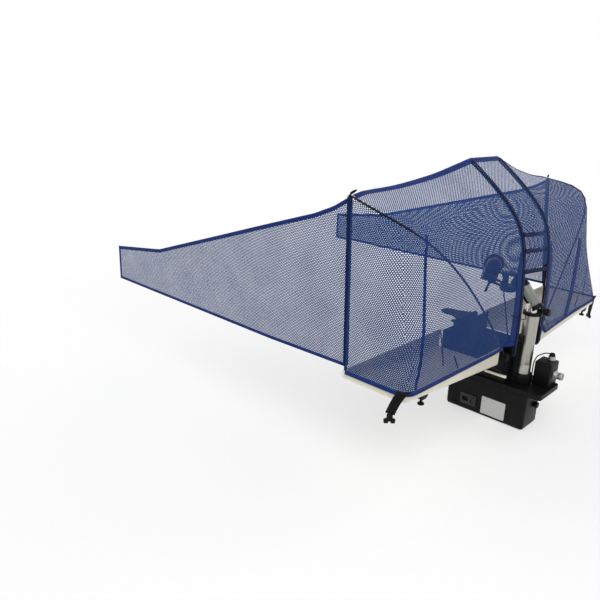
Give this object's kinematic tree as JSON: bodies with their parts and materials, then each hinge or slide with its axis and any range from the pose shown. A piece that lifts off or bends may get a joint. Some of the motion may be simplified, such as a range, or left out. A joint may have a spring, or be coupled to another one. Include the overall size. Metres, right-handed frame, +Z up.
{
  "type": "table tennis robot",
  "caption": "Ball throwing robot on the end of a playing table: feed base and hopper, ball pole, swivelling throwing head, hook clamp, two catching trays and a net hood with side nets.",
  "frame": {"origin": "underside of the hook's rubber pad at the middle of the table's end edge, level with the playing surface", "axes": "+X away from the table along its length, +Y along the end edge to the far side, +Z up"},
  "size_m": [1.7715, 1.5941, 0.9847],
  "materials": {
    "black_plastic": "satin near-black moulding",
    "soft_black": "soft black rubber and lead jacket",
    "black_socket": "dull black socket moulding",
    "cream_plastic": "cream tray moulding",
    "white_plastic": "white moulding",
    "satin_aluminium": "satin anodised tube",
    "bright_steel": "polished tube",
    "zinc_steel": "zinc plated steel",
    "black_rod": "black rod",
    "blue_net": "fine blue mesh cloth",
    "black_webbing": "woven black webbing",
    "smoky_clear": "smoky clear sheet",
    "orange_tyre": "orange friction tyre",
    "motor_metal": "dark gearmotor"
  },
  "bodies": {
    "base": {"base_housing": "black_plastic", "base_lid": "black_plastic", "service_panel": "black_plastic", "power_inlet": "black_socket", "feed_plate": "black_plastic", "feed_motor": "motor_metal", "power_supply": "zinc_steel", "drive_housing": "black_plastic", "head_socket": "zinc_steel", "remote_socket": "zinc_steel", "socket_lead": "soft_black", "head_lead": "soft_black", "hopper": "black_plastic", "near_side_rail": "cream_plastic", "far_side_rail": "cream_plastic", "ball_pole": "satin_aluminium", "pole_cradle": "black_plastic", "pole_collar": "black_plastic", "table_hook": "black_rod", "hook_pad": "soft_black", "back_hood": "blue_net", "near_tray": "cream_plastic", "near_foot_bracket": "black_plastic", "near_corner_pole": "black_rod", "near_rib": "black_rod", "near_bow_rod": "black_rod", "near_hood": "blue_net", "near_side_net": "blue_net", "near_strap": "black_webbing", "near_buckle": "black_plastic", "near_elastic": "black_webbing", "far_tray": "cream_plastic", "far_foot_bracket": "black_plastic", "far_corner_pole": "black_rod", "far_rib": "black_rod", "far_bow_rod": "black_rod", "far_hood": "blue_net", "far_side_net": "blue_net", "far_strap": "black_webbing", "far_buckle": "black_plastic", "far_elastic": "black_webbing"},
    "rocker_switch": {"rocker_switch": "black_socket"},
    "cover_knob": {"cover_knob": "black_plastic"},
    "feed_wheel": {"feed_wheel": "white_plastic"},
    "clamp_knob": {"clamp_knob": "black_plastic"},
    "neck": {"neck_tube": "bright_steel", "feed_elbow": "black_plastic", "elbow_liner": "smoky_clear", "turret_foot": "black_plastic"},
    "pan": {"pan_drum": "black_plastic"},
    "head": {"head_body": "black_plastic", "nozzle_ring": "white_plastic", "wheel_motor": "black_plastic", "wheel_guard": "smoky_clear"},
    "throwing_wheel": {"throwing_wheel": "orange_tyre"},
    "tilt_lever": {"tilt_lever": "black_plastic"},
    "clamp_pad": {"clamp_pad": "soft_black"},
    "clamp_screw": {"clamp_screw": "zinc_steel"},
    "near_tray_foot": {"near_tray_foot": "soft_black"},
    "far_tray_foot": {"far_tray_foot": "soft_black"}
  },
  "joints": [
    {"name": "switch_rock", "type": "hinge", "parent": "base", "child": "rocker_switch", "pos_m": [0.1285, -0.0818, -0.3043], "axis": [-1, 0, 0], "range_deg": [0, 16]},
    {"name": "cover_knob_turn", "type": "hinge", "parent": "base", "child": "cover_knob", "pos_m": [0.342, 0, -0.266], "axis": [1, 0, 0], "range_deg": [0, 720]},
    {"name": "feed_turn", "type": "hinge", "parent": "base", "child": "feed_wheel", "pos_m": [0.14, -0.0215, -0.24], "axis": [0, 0, 1], "continuous": true},
    {"name": "clamp_knob_turn", "type": "hinge", "parent": "base", "child": "clamp_knob", "pos_m": [0.3218, 0, 0.1065], "axis": [1, 0, 0], "range_deg": [0, 720]},
    {"name": "neck_lift", "type": "slide", "parent": "base", "child": "neck", "axis": [0, 0, 1], "range_m": [0, 0.04], "deforming": ["head_lead"]},
    {"name": "pan_turn", "type": "hinge", "parent": "neck", "child": "pan", "pos_m": [0.172, 0, 0.19], "axis": [0, 0, 1], "range_deg": [-72, 18]},
    {"name": "head_tilt", "type": "hinge", "parent": "pan", "child": "head", "pos_m": [0.10963, -0.03178, 0.1904], "axis": [-0.454, 0.891, 0], "range_deg": [-20, 8]},
    {"name": "lever_turn", "type": "hinge", "parent": "pan", "child": "tilt_lever", "pos_m": [0.10963, -0.03178, 0.1904], "axis": [0.454, -0.891, 0], "range_deg": [-60, 30]},
    {"name": "wheel_spin", "type": "hinge", "parent": "head", "child": "throwing_wheel", "pos_m": [0.11667, -0.0282, 0.2486], "axis": [0.454, -0.891, 0], "continuous": true},
    {"name": "clamp_travel", "type": "slide", "parent": "base", "child": "clamp_pad", "axis": [0, 0, 1], "range_m": [-0.02, 0]},
    {"name": "clamp_turn", "type": "hinge", "parent": "clamp_pad", "child": "clamp_screw", "pos_m": [-0.036, 0, -0.06], "axis": [0, 0, -1], "range_deg": [0, 3600]},
    {"name": "near_foot_turn", "type": "hinge", "parent": "base", "child": "near_tray_foot", "pos_m": [0.241, -0.6585, -0.06], "axis": [0, 0, 1], "range_deg": [0, 720]},
    {"name": "far_foot_turn", "type": "hinge", "parent": "base", "child": "far_tray_foot", "pos_m": [0.241, 0.6585, -0.06], "axis": [0, 0, 1], "range_deg": [0, 720]}
  ],
  "couplings": [
    {"joint": "clamp_turn", "follows": "clamp_travel", "rad_per_m": -3141.6}
  ]
}
